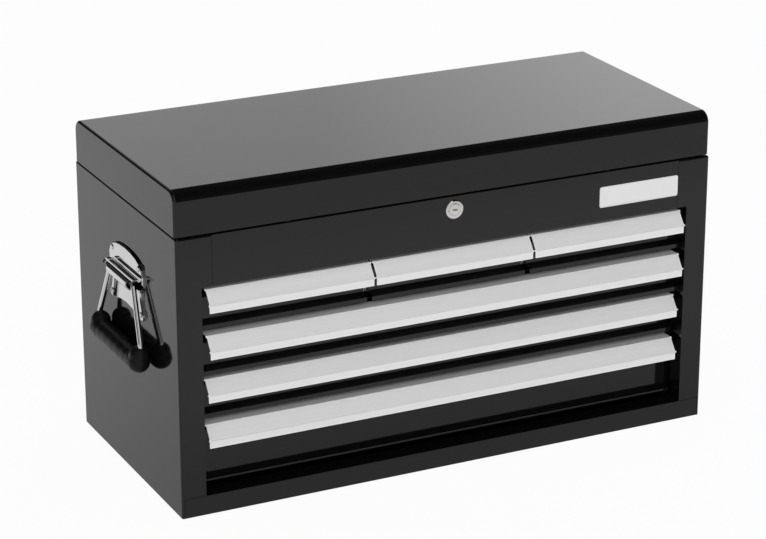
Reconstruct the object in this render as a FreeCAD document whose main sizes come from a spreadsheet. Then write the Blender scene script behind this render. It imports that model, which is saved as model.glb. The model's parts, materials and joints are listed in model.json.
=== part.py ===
import FreeCAD, Part
import math
import os
import re
import Sketcher

# A steel machinist's top chest: a folded case with six drawers on ball slides, a hinged lid over an
# open till, a cam lock and two drop handles. Millimetres, +Z up, -Y is the front, and the origin is
# the middle of the underside.

# Driving sizes. Each one can be set by itself.
sizes = {
    # Case
    "case_width": 660.0,
    "case_depth": 300.0,
    "seam_gap": 1.2,
    "gauge": 1.0,
    "corner_bend": 3.0,
    "top_bend": 2.0,
    "stile_width": 28.5,
    "stile_shoulder": 41.0,
    "stile_return": 24.0,
    "edge_fold": 12.0,
    "fold_stop": 24.0,
    "low_rail_height": 22.5,
    "low_rail_shelf": 24.0,
    "low_rail_foot": 20.0,
    "top_rail_height": 57.3,
    "top_rail_fold": 13.5,
    "rail_lap": 10.0,
    "rail_lap_margin": 5.0,
    "weld_gap": 0.3,
    "till_lip": 16.0,
    "overrun": 5.0,
    # Posts, shelf and dividers inside the case
    "post_inset": 6.1,
    "post_width": 30.0,
    "post_setback": 31.0,
    "post_back_gap": 15.0,
    "shelf_setback": 26.0,
    "shelf_under_front": 2.0,
    # Drawer fronts
    "opening_margin": 5.0,
    "front_height": 47.9,
    "deep_front_height": 70.1,
    "row_gap": 5.3,
    "low_margin": 8.0,
    "upper_setback": 19.4,
    "lower_setback": 27.4,
    "upper_end_gap": 1.3,
    "lower_end_gap": 4.3,
    "small_front_gap": 6.0,
    "ledge_reach": 9.7,
    "ledge_drop": 3.8,
    "lip_height": 5.2,
    "deep_lip_height": 3.1,
    # Drawer boxes
    "box_foot_gap": 2.0,
    "box_top_drop": 8.0,
    "box_back_gap": 10.0,
    # Pulls
    "pull_end_gap": 6.5,
    "small_pull_gap": 3.5,
    "pull_flange": 14.4,
    "pull_flare": 11.0,
    "pull_slant": 14.2,
    "pull_lip": 10.0,
    "pull_wall": 1.2,
    "pull_hook": 6.0,
    "pull_rib": 1.1,
    "pull_bevel_share": 0.45,
    # Ball slides
    "slide_thickness": 10.0,
    "slide_height": 27.0,
    "slide_wall": 1.2,
    "slide_length": 250.0,
    "slide_start": 3.0,
    "slide_rise": 21.0,
    "outer_depth": 8.6,
    "outer_lip": 1.0,
    "outer_lip_drop": 3.4,
    "inner_height": 18.2,
    "inner_inset": 3.0,
    "ball_size": 3.0,
    "cage_wall": 0.6,
    "cage_play": 0.4,
    "cage_reach": 7.2,
    "cage_hole_play": 0.15,
    "cage_length": 64.0,
    "cage_start": 94.0,
    "ball_count": 4,
    # Lid
    "lid_height": 50.3,
    "lid_setback": 3.2,
    "lid_bend": 13.0,
    "lid_corner": 3.0,
    "lid_fold": 10.0,
    # Piano hinge
    "hinge_length": 600.0,
    "knuckle_count": 20,
    "knuckle_gap": 0.4,
    "knuckle_radius": 2.5,
    "hinge_standoff": 0.2,
    "hinge_pin_radius": 1.0,
    "hinge_pin_play": 0.08,
    "leaf_height": 20.0,
    "leaf_clear": 0.5,
    "leaf_rivet_count": 7,
    "leaf_rivet_radius": 3.6,
    "leaf_rivet_crown_radius": 2.2,
    "leaf_rivet_height": 1.2,
    "leaf_rivet_margin": 25.0,
    # Lid stays
    "stay_inset": 14.0,
    "stay_thickness": 2.0,
    "stay_side_play": 0.4,
    "stay_pivot_forward": 20.0,
    "stay_pivot_drop": 30.0,
    "stay_stud_forward": 100.0,
    "stay_stud_rise": 18.0,
    "stay_sweep": 95.0,
    "stay_leg_half": 7.0,
    "stay_slot_half": 3.3,
    "stay_slot_edge": 4.0,
    "stud_radius": 3.0,
    "stud_play": 0.08,
    "stud_shoulder_radius": 5.0,
    "stud_head": 1.5,
    # Lock
    "lock_drop": 15.0,
    "lock_face_radius": 10.8,
    "lock_face_height": 2.0,
    "lock_body_radius": 9.5,
    "lock_body_play": 0.1,
    "lock_depth": 19.0,
    "plug_radius": 7.0,
    "plug_play": 0.08,
    "plug_proud": 0.4,
    "key_slot_width": 6.0,
    "key_slot_height": 1.6,
    "key_slot_depth": 6.0,
    "lock_nut_radius": 13.0,
    "lock_nut_height": 4.0,
    "cam_thickness": 2.0,
    "cam_half_width": 5.0,
    "cam_reach": 19.0,
    "cam_screw_radius": 4.0,
    "cam_screw_height": 2.0,
    "catch_clear": 0.5,
    "catch_plate": 1.5,
    "catch_near": 11.0,
    "catch_far": 25.0,
    "catch_hook_ahead": 1.5,
    "catch_stand": 3.4,
    "catch_rise": 17.0,
    # Badge plate
    "badge_width": 103.0,
    "badge_height": 24.5,
    "badge_thickness": 1.0,
    "badge_corner": 2.5,
    "badge_drop": 17.0,
    "badge_end_gap": 0.8,
    # Side handles
    "handle_drop": 85.5,
    "handle_forward": 6.5,
    "plate_thickness": 3.0,
    "plate_bevel": 1.2,
    "plate_half_width": 50.5,
    "plate_rise": 32.3,
    "plate_fall": 39.5,
    "barrel_length": 82.0,
    "barrel_radius": 7.5,
    "barrel_bead": 0.9,
    "barrel_bead_length": 5.0,
    "barrel_mouth_radius": 6.0,
    "leg_notch_play": 0.55,
    "leg_notch_swing_play": 1.15,
    "wire_radius": 3.15,
    "wire_play": 0.08,
    "wire_gap": 3.0,
    "leg_top_half": 34.7,
    "leg_foot_half": 62.0,
    "leg_top_bend": 5.0,
    "leg_middle_bend": 12.0,
    "leg_foot_bend": 8.0,
    "leg_straight": 20.0,
    "bail_drop": 80.0,
    "grip_radius": 12.5,
    "grip_end_half": 59.0,
    "grip_horn_radius": 11.5,
    "grip_horn_rise": 7.5,
    "grip_stand": 0.5,
    "grip_play": 0.05,
    "plate_rivet_radius": 3.4,
    "plate_rivet_crown_radius": 2.0,
    "plate_rivet_height": 1.4,
    # Lid pads
    "pad_radius": 5.0,
    "pad_play": 0.1,
    "pad_spread_share": 0.6,
}

# Places worked out from the driving sizes, as formulas in the same sheet.
rules = {
    "half_width": "case_width / 2",
    "inside_half": "half_width - gauge",
    "front": "-case_depth / 2",
    "rear": "case_depth / 2",
    "opening_half": "half_width - stile_width",
    "opening_low": "low_rail_height",
    "fourth_low": "opening_low + low_margin",
    "fourth_top": "fourth_low + deep_front_height",
    "third_low": "fourth_top + row_gap",
    "third_top": "third_low + front_height",
    "second_low": "third_top + row_gap",
    "second_top": "second_low + front_height",
    "first_low": "second_top + row_gap",
    "first_top": "first_low + front_height",
    "opening_top": "first_top + opening_margin",
    "seam_height": "opening_top + top_rail_height",
    "lid_low": "seam_height + seam_gap",
    "case_height": "lid_low + lid_height",
    "rail_half": "half_width - stile_shoulder - weld_gap",
    "bend_end": "half_width - corner_bend",
    "post_face": "opening_half - post_inset",
    "floor_front": "front + corner_bend + weld_gap",
    "shelf_top": "first_low - shelf_under_front",
    "till_floor_low": "opening_top + gauge",
    "pull_half": "opening_half - pull_end_gap",
    "divider_place": "(2 * pull_half + small_pull_gap) / 6",
    "upper_half": "opening_half - upper_end_gap",
    "lower_half": "opening_half - lower_end_gap",
    "box_half": "post_face - slide_thickness",
    "divider_side": "divider_place + gauge / 2",
    "lid_front": "front + lid_setback",
    "hinge_back": "rear + knuckle_radius + hinge_standoff",
    "hinge_height": "seam_height + seam_gap / 2",
    "knuckle_pitch": "hinge_length / knuckle_count",
    "stay_outer": "inside_half - stay_inset",
    "stay_pivot_y": "hinge_back - stay_pivot_forward",
    "stay_pivot_z": "hinge_height - stay_pivot_drop",
    "stay_stud_y": "hinge_back - stay_stud_forward",
    "stay_stud_z": "hinge_height + stay_stud_rise",
    "stay_centre_y": "stay_pivot_y + stay_stud_y - hinge_back",
    "stay_centre_z": "stay_pivot_z + stay_stud_z - hinge_height",
    "stay_arc": "sqrt(stay_pivot_forward * stay_pivot_forward + stay_pivot_drop * stay_pivot_drop)",
    "stay_band_half": "stay_slot_half + stay_slot_edge",
    "lock_height": "seam_height - lock_drop",
    "lock_end": "front + lock_depth",
    "cam_back": "lock_end + cam_thickness",
    "catch_front": "cam_back + catch_stand",
    "catch_top": "lid_low + catch_rise",
    "barrel_x": "half_width + barrel_radius",
    "handle_height": "seam_height - handle_drop",
    "handle_y": "-handle_forward",
    "notch_start": "leg_top_half - leg_top_bend",
}

doc = FreeCAD.newDocument("tool_chest")
sheet = doc.addObject("Spreadsheet::Sheet", "Sizes")
nodes = []


def fill_sheet():
    """Write every size and rule to the sheet, one row each, with its name as alias."""
    rows = [(name, str(value)) for name, value in sizes.items()]
    rows += [(name, "=" + rule) for name, rule in rules.items()]
    for row, (name, text) in enumerate(rows, start=1):
        sheet.set(f"A{row}", name)
        sheet.set(f"B{row}", text)
        sheet.setAlias(f"B{row}", name)
    doc.recompute()


def link(text):
    """Turn names of sizes into references to the sheet."""
    known = lambda word: word.group() in sizes or word.group() in rules
    full = lambda word: "Sizes." + word.group() if known(word) else word.group()
    return re.sub(r"[a-z][a-z_]+", full, text)


def size(name):
    """The number that a size or a rule has now."""
    return float(sheet.get(name))


def minus(pair):
    """The same span on the other side of the middle plane."""
    low, high = pair
    return f"-({high})", f"-({low})"


def block(x, y, z):
    """A box between three pairs of limits."""
    item = doc.addObject("Part::Box", "block")
    for side, axis, (low, high) in (("Length", "x", x), ("Width", "y", y), ("Height", "z", z)):
        item.setExpression(side, link(f"({high}) - ({low})"))
        item.setExpression(f"Placement.Base.{axis}", link(f"{low}"))
    return item


turns = {
    "x": FreeCAD.Rotation(FreeCAD.Vector(0, 1, 0), 90),
    "y": FreeCAD.Rotation(FreeCAD.Vector(1, 0, 0), -90),
    "z": FreeCAD.Rotation(),
}


def place(item, axis, x, y, z):
    """Turn a primitive's own Z axis to the given axis and set its base point."""
    item.Placement = FreeCAD.Placement(FreeCAD.Vector(), turns[axis])
    for name, text in (("x", x), ("y", y), ("z", z)):
        item.setExpression(f"Placement.Base.{name}", link(text))
    return item


def rod(axis, radius, limits, **across):
    """A cylinder along an axis between two limits."""
    low, high = limits
    item = doc.addObject("Part::Cylinder", "rod")
    item.setExpression("Radius", link(radius))
    item.setExpression("Height", link(f"({high}) - ({low})"))
    spot = {axis: low, **across}
    return place(item, axis, spot["x"], spot["y"], spot["z"])


def ball(radius, x, y, z):
    """A sphere about a point."""
    item = doc.addObject("Part::Sphere", "ball")
    item.setExpression("Radius", link(radius))
    return place(item, "z", x, y, z)


def join(parts):
    """Parts welded into one solid."""
    item = doc.addObject("Part::MultiFuse", "join")
    item.Shapes = parts
    item.Refine = True
    return item


def cut(base, tools):
    """A part with tools taken away."""
    item = doc.addObject("Part::Cut", "cut")
    item.Base = base
    item.Tool = tools[0] if len(tools) == 1 else join(tools)
    return item


def group(parts):
    """Separate solids kept under one name."""
    item = doc.addObject("Part::Compound", "group")
    item.Links = parts
    return item


def mirrored(source):
    """The same part on the other side of the chest."""
    item = doc.addObject("Part::Mirroring", "mirrored")
    item.Source = source
    item.Normal = FreeCAD.Vector(1, 0, 0)
    return item


def node(label, item):
    """Give a finished sub-part its name."""
    item.Label = label
    nodes.append(item)
    return item


def outline(body, role, points):
    """A closed sketch on an origin plane of the body, through points given as formulas."""
    sketch = body.newObject("Sketcher::SketchObject", "outline")
    plane = [item for item in body.Origin.OriginFeatures if item.Role == role][0]
    sketch.AttachmentSupport = [(plane, "")]
    sketch.MapMode = "FlatFace"
    count = len(points)
    start = [FreeCAD.Vector(math.cos(math.tau * i / count), math.sin(math.tau * i / count), 0)
             for i in range(count)]
    for i in range(count):
        sketch.addGeometry(Part.LineSegment(start[i], start[(i + 1) % count]), False)
    for i in range(count):
        sketch.addConstraint(Sketcher.Constraint("Coincident", i, 2, (i + 1) % count, 1))
    for i, (across, up) in enumerate(points):
        for kind, text in (("DistanceX", across), ("DistanceY", up)):
            index = sketch.addConstraint(Sketcher.Constraint(kind, -1, 1, i, 1, 1))
            sketch.setExpression(f"Constraints[{index}]", link(text))
    return sketch


def pad(role, points, length):
    """A body: an outline on an origin plane, padded by a length."""
    body = doc.addObject("PartDesign::Body", "body")
    sketch = outline(body, role, points)
    feature = body.newObject("PartDesign::Pad", "pad")
    feature.Profile = sketch
    feature.setExpression("Length", link(length))
    doc.recompute()
    return body


def soften(body, radius, wanted, kind="Fillet"):
    """Round or bevel the edges of a body that a test on their ends picks."""
    base = body.Tip
    names = [f"Edge{i}" for i, edge in enumerate(base.Shape.Edges, start=1) if wanted(edge)]
    feature = body.newObject(f"PartDesign::{kind}", kind.lower())
    feature.Base = (base, names)
    feature.setExpression("Radius" if kind == "Fillet" else "Size", link(radius))
    doc.recompute()
    return body


def round_edges(item, radius, wanted):
    """Round the edges of a welded part that a test on their ends picks."""
    doc.recompute()
    reach = size(radius)
    feature = doc.addObject("Part::Fillet", "rounded")
    feature.Base = item
    feature.Edges = [(i, reach, reach) for i, edge in enumerate(item.Shape.Edges, start=1) if wanted(edge)]
    doc.recompute()
    return feature


def along(edge, axis):
    """True where an edge runs along an axis."""
    ends = [vertex.Point for vertex in edge.Vertexes]
    if len(ends) != 2:
        return False
    step = ends[1] - ends[0]
    return abs(abs(getattr(step, axis)) - step.Length) < edge.Length * 1e-6


def at(edge, axis, value):
    """True where both ends of an edge lie at a value on an axis."""
    return all(math.isclose(getattr(vertex.Point, axis), value, abs_tol=1e-4) for vertex in edge.Vertexes)


def extrude_x(points, x):
    """A section in the YZ plane run along X between two limits."""
    low, high = x
    body = pad("YZ_Plane", points, f"({high}) - ({low})")
    body.setExpression("Placement.Base.x", link(low))
    return body


fill_sheet()


# Case

def side_panel():
    """Left side: rear fold, side wall, bent corner and stile, with notches for the rails."""
    wall = pad("XY_Plane", [
        ("-half_width", "front"),
        ("-half_width + stile_shoulder", "front"),
        ("-half_width + stile_shoulder", "front + gauge"),
        ("-inside_half", "front + gauge"),
        ("-inside_half", "rear - 2 * gauge"),
        ("-inside_half + edge_fold", "rear - 2 * gauge"),
        ("-inside_half + edge_fold", "rear - gauge"),
        ("-half_width", "rear - gauge"),
    ], "seam_height")
    half, front = size("half_width"), size("front")
    soften(wall, "corner_bend", lambda e: along(e, "z") and at(e, "x", -half) and at(e, "y", front))
    inside, lap = size("inside_half"), front + size("gauge")
    soften(wall, "corner_bend - gauge", lambda e: along(e, "z") and at(e, "x", -inside) and at(e, "y", lap))
    reach = ("front - overrun", "front + corner_bend")
    below = block(("-bend_end", "0"), reach, ("-overrun", "opening_low + weld_gap"))
    beside = block(("-opening_half", "0"), reach, ("opening_low", "opening_top"))
    stile = cut(wall, [below, beside])
    inner = block(("-opening_half - gauge", "-opening_half"), ("front + gauge", "front + stile_return"),
                  ("opening_low + weld_gap", "opening_top"))
    side_fold = block(("-inside_half", "-inside_half + edge_fold"),
                      ("front + corner_bend", "rear - 2 * gauge"), ("seam_height - gauge", "seam_height"))
    stile_fold = block(("-bend_end", "-half_width + stile_shoulder"), ("front + gauge", "front + edge_fold"),
                       ("seam_height - gauge", "seam_height"))
    corner_fold = rod("z", "corner_bend - gauge", ("seam_height - gauge", "seam_height"),
                      x="-bend_end", y="front + corner_bend")
    panel = join([stile, inner, side_fold, stile_fold, corner_fold])
    over, behind = size("seam_height"), size("rear") - size("gauge")
    outside = lambda e: at(e, "x", -half) or at(e, "y", front) or not (along(e, "x") or along(e, "y"))
    bent = lambda e: at(e, "z", over) and outside(e) and not at(e, "y", behind)
    return round_edges(panel, "top_bend", bent)


def back_panel():
    """Flat back with a fold along its top edge."""
    sheet_metal = block(("-half_width", "half_width"), ("rear - gauge", "rear"), ("0", "seam_height"))
    top_fold = block(("-half_width + fold_stop", "half_width - fold_stop"),
                     ("rear - edge_fold", "rear - gauge"), ("seam_height - gauge", "seam_height"))
    return join([sheet_metal, top_fold])


def low_rail():
    """Rail under the drawers, folded to a channel that sits on the base pan."""
    return extrude_x([
        ("front", "0"),
        ("front + gauge", "0"),
        ("front + gauge", "gauge"),
        ("front + low_rail_foot", "gauge"),
        ("front + low_rail_foot", "2 * gauge"),
        ("front + gauge", "2 * gauge"),
        ("front + gauge", "low_rail_height - gauge"),
        ("front + low_rail_shelf", "low_rail_height - gauge"),
        ("front + low_rail_shelf", "low_rail_height"),
        ("front", "low_rail_height"),
    ], ("-bend_end + weld_gap", "bend_end - weld_gap"))


def top_rail():
    """Rail over the drawers, a channel with laps behind the stiles and the lock hole."""
    channel = extrude_x([
        ("front", "opening_top"),
        ("front + edge_fold", "opening_top"),
        ("front + edge_fold", "opening_top + gauge"),
        ("front + gauge", "opening_top + gauge"),
        ("front + gauge", "seam_height - gauge"),
        ("front + top_rail_fold", "seam_height - gauge"),
        ("front + top_rail_fold", "seam_height"),
        ("front", "seam_height"),
    ], ("-rail_half", "rail_half"))
    lap_x = ("rail_half - rail_lap", "rail_half + rail_lap")
    lap_y = ("front + gauge", "front + 2 * gauge")
    lap_z = ("opening_top + rail_lap_margin", "seam_height - rail_lap_margin")
    laps = [block(side, lap_y, lap_z) for side in (lap_x, minus(lap_x))]
    hole = rod("y", "lock_body_radius + lock_body_play", ("front - overrun", "front + overrun"),
               x="0", z="lock_height")
    return cut(join([channel] + laps), [hole])


def till_tray():
    """Floor of the till with its edges turned up."""
    across = ("-inside_half", "inside_half")
    deep = ("floor_front", "rear - 2 * gauge")
    outer = block(across, deep, ("till_floor_low", "till_floor_low + till_lip"))
    inner = block(("-inside_half + gauge", "inside_half - gauge"),
                  ("floor_front + gauge", "rear - 3 * gauge"),
                  ("till_floor_low + gauge", "till_floor_low + till_lip + overrun"))
    return cut(outer, [inner])


def post(side, deep):
    """Upright channel that carries the slides on one side."""
    outer = block(side, deep, ("gauge", "till_floor_low"))
    low, high = deep
    inside = (f"{low} + slide_wall", f"{high} - slide_wall")
    hollow_x = {"left": ("-inside_half - overrun", "-post_face - slide_wall"),
                "right": ("post_face + slide_wall", "inside_half + overrun")}
    key = "left" if side[0].startswith("-inside") else "right"
    return cut(outer, [block(hollow_x[key], inside, ("0", "till_floor_low + overrun"))])


def slide_posts():
    """Four posts, front and rear on both sides."""
    left = ("-inside_half", "-post_face")
    right = ("post_face", "inside_half")
    near = ("front + post_setback", "front + post_setback + post_width")
    far = ("rear - post_back_gap - post_width", "rear - post_back_gap")
    return group([post(side, deep) for side in (left, right) for deep in (near, far)])


def dividers():
    """Two upright sheets between the small drawers."""
    place_x = ("divider_place - gauge / 2", "divider_place + gauge / 2")
    deep = ("front + shelf_setback", "rear - gauge")
    tall = ("shelf_top", "till_floor_low")
    return group([block(side, deep, tall) for side in (place_x, minus(place_x))])


def bay_shelf():
    """Sheet between the small drawers and the row below, folded down at the back."""
    across = ("-post_face", "post_face")
    flat = block(across, ("front + shelf_setback", "rear - gauge"), ("shelf_top - gauge", "shelf_top"))
    fold = block(across, ("rear - 2 * gauge", "rear - gauge"), ("shelf_top - edge_fold", "shelf_top"))
    return join([flat, fold])


left_side = node("left_side_panel", side_panel())
node("right_side_panel", mirrored(left_side))
node("back_panel", back_panel())
node("base_pan", block(("-inside_half", "inside_half"), ("floor_front", "rear - 2 * gauge"), ("0", "gauge")))
node("bottom_rail", low_rail())
node("top_rail", top_rail())
node("till_floor", till_tray())
node("drawer_dividers", dividers())
node("bay_shelf", bay_shelf())
node("slide_posts", slide_posts())


# Drawers. Each row of this table is one drawer: its name, the limits of its pull, front and box
# along X, its top and its low edge, how far its face stands behind the frame, and its lip.

small_gap_side = "divider_place + small_front_gap / 2"
small_box_side = "divider_side + slide_thickness"
middle_box_side = "divider_place - gauge / 2 - slide_thickness"
right_pull = ("divider_place + small_pull_gap / 2", "pull_half")
right_front = (small_gap_side, "upper_half")
right_box = (small_box_side, "box_half")


def both(half):
    """A span that is centred on the chest."""
    return f"-({half})", half


small_row = ("first_top", "first_low", "upper_setback", "lip_height")
drawers = [
    ("small_left", minus(right_pull), minus(right_front), minus(right_box)) + small_row,
    ("small_middle", both("divider_place - small_pull_gap / 2"),
     both("divider_place - small_front_gap / 2"), both(middle_box_side)) + small_row,
    ("small_right", right_pull, right_front, right_box) + small_row,
    ("upper", both("pull_half"), both("upper_half"), both("box_half"),
     "second_top", "second_low", "upper_setback", "lip_height"),
    ("middle", both("pull_half"), both("lower_half"), both("box_half"),
     "third_top", "third_low", "lower_setback", "lip_height"),
    ("deep", both("pull_half"), both("lower_half"), both("box_half"),
     "fourth_top", "fourth_low", "lower_setback", "deep_lip_height"),
]


def drawer_box(front_x, box_x, top, low, face, lip):
    """Folded front with its ledge and lip, welded to an open tray."""
    ledge = f"{face} - ledge_reach"
    lip_top = f"{low} + {lip}"
    skin = extrude_x([
        (face, f"{top} - pull_wall"),
        (face, f"{lip_top} + ledge_drop"),
        (ledge, lip_top),
        (ledge, low),
        (f"{ledge} + gauge", low),
        (f"{ledge} + gauge", f"{lip_top} - gauge"),
        (f"{face} + gauge", f"{lip_top} + ledge_drop - gauge"),
        (f"{face} + gauge", f"{top} - pull_wall"),
    ], front_x)
    x_low, x_high = box_x
    tray = block(box_x, (f"{face} + gauge", "rear - box_back_gap"),
                 (f"{low} + box_foot_gap", f"{top} - box_top_drop"))
    hollow = block((f"{x_low} + gauge", f"{x_high} - gauge"),
                   (f"{face} + 2 * gauge", "rear - box_back_gap - gauge"),
                   (f"{low} + box_foot_gap + gauge", f"{top} + overrun"))
    return join([skin, cut(tray, [hollow])])


def pull(pull_x, top, face):
    """Drawn pull: flange over the front, slanted face, rib, finger lip and the hook behind."""
    bend = f"{face} - pull_flange"
    lip = f"{bend} - pull_flare"
    knee = f"{top} - pull_slant"
    foot = f"{knee} - pull_lip"
    hook = f"{face} + gauge"
    under = f"{top} - pull_wall"
    return extrude_x([
        (f"{hook} + pull_wall", top),
        (bend, top),
        (lip, knee),
        (f"{lip} - pull_rib", f"{knee} - pull_rib"),
        (lip, f"{knee} - 2 * pull_rib"),
        (lip, foot),
        (f"{lip} + pull_wall", foot),
        (f"{lip} + pull_wall", f"{knee} - pull_wall * pull_bevel_share"),
        (f"{bend} + pull_wall * pull_bevel_share", under),
        (hook, under),
        (hook, f"{under} - pull_hook"),
        (f"{hook} + pull_wall", f"{under} - pull_hook"),
    ], pull_x)


def beside_face(base, inward, near, far):
    """The span from near to far off a mounting face, towards the drawer."""
    if inward > 0:
        return f"{base} + {near}", f"{base} + {far}"
    return f"{base} - ({far})", f"{base} - ({near})"


def outer_slide(base, inward, deep, middle):
    """Channel with lips, fixed to the post or divider."""
    half = "slide_height / 2"
    tall = (f"{middle} - {half}", f"{middle} + {half}")
    web = block(beside_face(base, inward, "0", "slide_wall"), deep, tall)
    flange_x = beside_face(base, inward, "0", "outer_depth")
    lip_x = beside_face(base, inward, "outer_depth - outer_lip", "outer_depth")
    parts = [web]
    parts.append(block(flange_x, deep, (f"{middle} + {half} - slide_wall", tall[1])))
    parts.append(block(flange_x, deep, (tall[0], f"{middle} - {half} + slide_wall")))
    parts.append(block(lip_x, deep, (f"{middle} + {half} - outer_lip_drop", tall[1])))
    parts.append(block(lip_x, deep, (tall[0], f"{middle} - {half} + outer_lip_drop")))
    return join(parts)


def inner_slide(base, inward, deep, middle):
    """Channel on the side of the drawer, open towards the case."""
    half = "inner_height / 2"
    tall = (f"{middle} - {half}", f"{middle} + {half}")
    web = block(beside_face(base, inward, "slide_thickness - slide_wall", "slide_thickness"), deep, tall)
    flange_x = beside_face(base, inward, "inner_inset", "slide_thickness")
    over = block(flange_x, deep, (f"{middle} + {half} - slide_wall", tall[1]))
    under = block(flange_x, deep, (tall[0], f"{middle} - {half} + slide_wall"))
    return join([web, over, under])


def ball_cage(base, inward, start, middle):
    """Strip between the channels, with a row of balls above and one below."""
    reach = "(slide_height / 2 - slide_wall + inner_height / 2) / 2"
    strip = "cage_wall / 2"
    deep = (start, f"{start} + cage_length")
    web_x = beside_face(base, inward, "slide_wall + cage_play", "slide_wall + cage_play + cage_wall")
    flange_x = beside_face(base, inward, "slide_wall + cage_play", "cage_reach")
    parts = [block(web_x, deep, (f"{middle} - {reach} - {strip}", f"{middle} + {reach} + {strip}"))]
    ball_x = "(inner_inset + outer_depth - outer_lip) / 2"
    ball_x = f"{base} + {ball_x}" if inward > 0 else f"{base} - {ball_x}"
    holes, balls = [], []
    for sign in ("+", "-"):
        height = f"{middle} {sign} {reach}"
        parts.append(block(flange_x, deep, (f"{height} - {strip}", f"{height} + {strip}")))
        for i in range(sizes["ball_count"]):
            spot = f"{start} + cage_length * ({i} + 1 / 2) / ball_count"
            deep_z = (f"{height} - cage_wall", f"{height} + cage_wall")
            holes.append(rod("z", "ball_size / 2 + cage_hole_play", deep_z, x=ball_x, y=spot))
            balls.append(ball("ball_size / 2", ball_x, spot, height))
    return [cut(join(parts), holes)] + balls


fixed_slides = []
for name, pull_x, front_x, box_x, top, low, setback, lip in drawers:
    face = f"front + {setback}"
    node(f"drawer_box_{name}", drawer_box(front_x, box_x, top, low, face, lip))
    node(f"drawer_pull_{name}", pull(pull_x, top, face))
    start = f"{face} + slide_start"
    deep = (start, f"{start} + slide_length")
    middle = f"{low} + slide_rise"
    sides = ((f"{box_x[0]} - slide_thickness", 1), (f"{box_x[1]} + slide_thickness", -1))
    node(f"slide_members_{name}", group([inner_slide(base, way, deep, middle) for base, way in sides]))
    fixed_slides += [outer_slide(base, way, deep, middle) for base, way in sides]
    cage_start = f"{start} + cage_start"
    rows = [ball_cage(base, way, cage_start, middle) for base, way in sides]
    node(f"ball_cage_{name}", group(rows[0] + rows[1]))
node("slide_rails", group(fixed_slides))


# Lid

def lid_form(inset, drop):
    """The lid as a full block with its bends, drawn in by an inset."""
    low = f"lid_low - {drop}"
    top = f"case_height - {inset}"
    form = extrude_x([
        (f"lid_front + {inset}", low),
        (f"rear - {inset}", low),
        (f"rear - {inset}", top),
        (f"lid_front + {inset}", top),
    ], (f"-half_width + {inset}", f"half_width - {inset}"))
    less = 0.0 if inset == "0" else size(inset)
    height = size("case_height") - less
    base = size("lid_low") - (0.0 if drop == "0" else size(drop))
    length = size("case_width") - 2 * less
    soften(form, f"lid_bend - {inset}", lambda e: along(e, "x") and at(e, "z", height))
    ends = lambda e: (at(e, "x", 0) or at(e, "x", length)) and not at(e, "z", base)
    soften(form, f"lid_corner - {inset}", ends)
    return form


def lid_shell():
    """Folded lid, with its edges turned in along the front, the rear and the ends."""
    shell = cut(lid_form("0", "0"), [lid_form("gauge", "overrun")])
    tall = ("lid_low", "lid_low + gauge")
    front_fold = block(("-half_width + lid_corner", "half_width - lid_corner"),
                       ("lid_front + gauge", "lid_front + gauge + lid_fold"), tall)
    rear_fold = block(("-half_width + fold_stop", "half_width - fold_stop"),
                      ("rear - gauge - lid_fold", "rear - gauge"), tall)
    side = ("-inside_half", "-inside_half + lid_fold")
    side_y = ("lid_front + lid_corner", "rear - lid_corner")
    return join([shell, front_fold, rear_fold, block(side, side_y, tall), block(minus(side), side_y, tall)])


def hinge_leaf(on_lid):
    """Long leaf with every second knuckle of the piano hinge."""
    half = "hinge_length / 2"
    plate_y = ("rear", "rear + gauge")
    clear = "knuckle_radius + leaf_clear"
    if on_lid:
        plate_z = (f"hinge_height + {clear}", f"hinge_height + {clear} + leaf_height")
        tab_z = ("hinge_height", plate_z[0])
    else:
        plate_z = (f"hinge_height - {clear} - leaf_height", f"hinge_height - {clear}")
        tab_z = (plate_z[1], "hinge_height")
    parts = [block((f"-{half}", half), plate_y, plate_z)]
    for i in range(1 if on_lid else 0, sizes["knuckle_count"], 2):
        low = f"-{half} + {i} * knuckle_pitch + knuckle_gap / 2"
        high = f"-{half} + ({i} + 1) * knuckle_pitch - knuckle_gap / 2"
        parts.append(rod("x", "knuckle_radius", (low, high), y="hinge_back", z="hinge_height"))
        parts.append(block((low, high), plate_y, tab_z))
    bore = rod("x", "hinge_pin_radius + hinge_pin_play", (f"-{half} - overrun", f"{half} + overrun"),
               y="hinge_back", z="hinge_height")
    return cut(join(parts), [bore])


def leaf_rivets(height):
    """Row of rivet heads on a hinge leaf."""
    heads = []
    for i in range(sizes["leaf_rivet_count"]):
        head = doc.addObject("Part::Cone", "rivet")
        head.setExpression("Radius1", link("leaf_rivet_radius"))
        head.setExpression("Radius2", link("leaf_rivet_crown_radius"))
        head.setExpression("Height", link("leaf_rivet_height"))
        run = "(hinge_length - 2 * leaf_rivet_margin)"
        x = f"-hinge_length / 2 + leaf_rivet_margin + {run} * {i} / (leaf_rivet_count - 1)"
        heads.append(place(head, "y", x, "rear + gauge", height))
    return heads


def stepped_stud(y, z):
    """Stud on the side wall that carries a lid stay: shoulder, journal and head."""
    shoulder = ("stay_outer + stay_side_play", "inside_half")
    journal = ("stay_outer - stay_thickness - stay_side_play", "stay_outer + stay_side_play")
    head = ("stay_outer - stay_thickness - stay_side_play - stud_head", journal[0])
    spans = ((shoulder, "stud_shoulder_radius"), (journal, "stud_radius"), (head, "stud_shoulder_radius"))
    return join([rod("x", radius, minus(span), y=y, z=z) for span, radius in spans])


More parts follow.
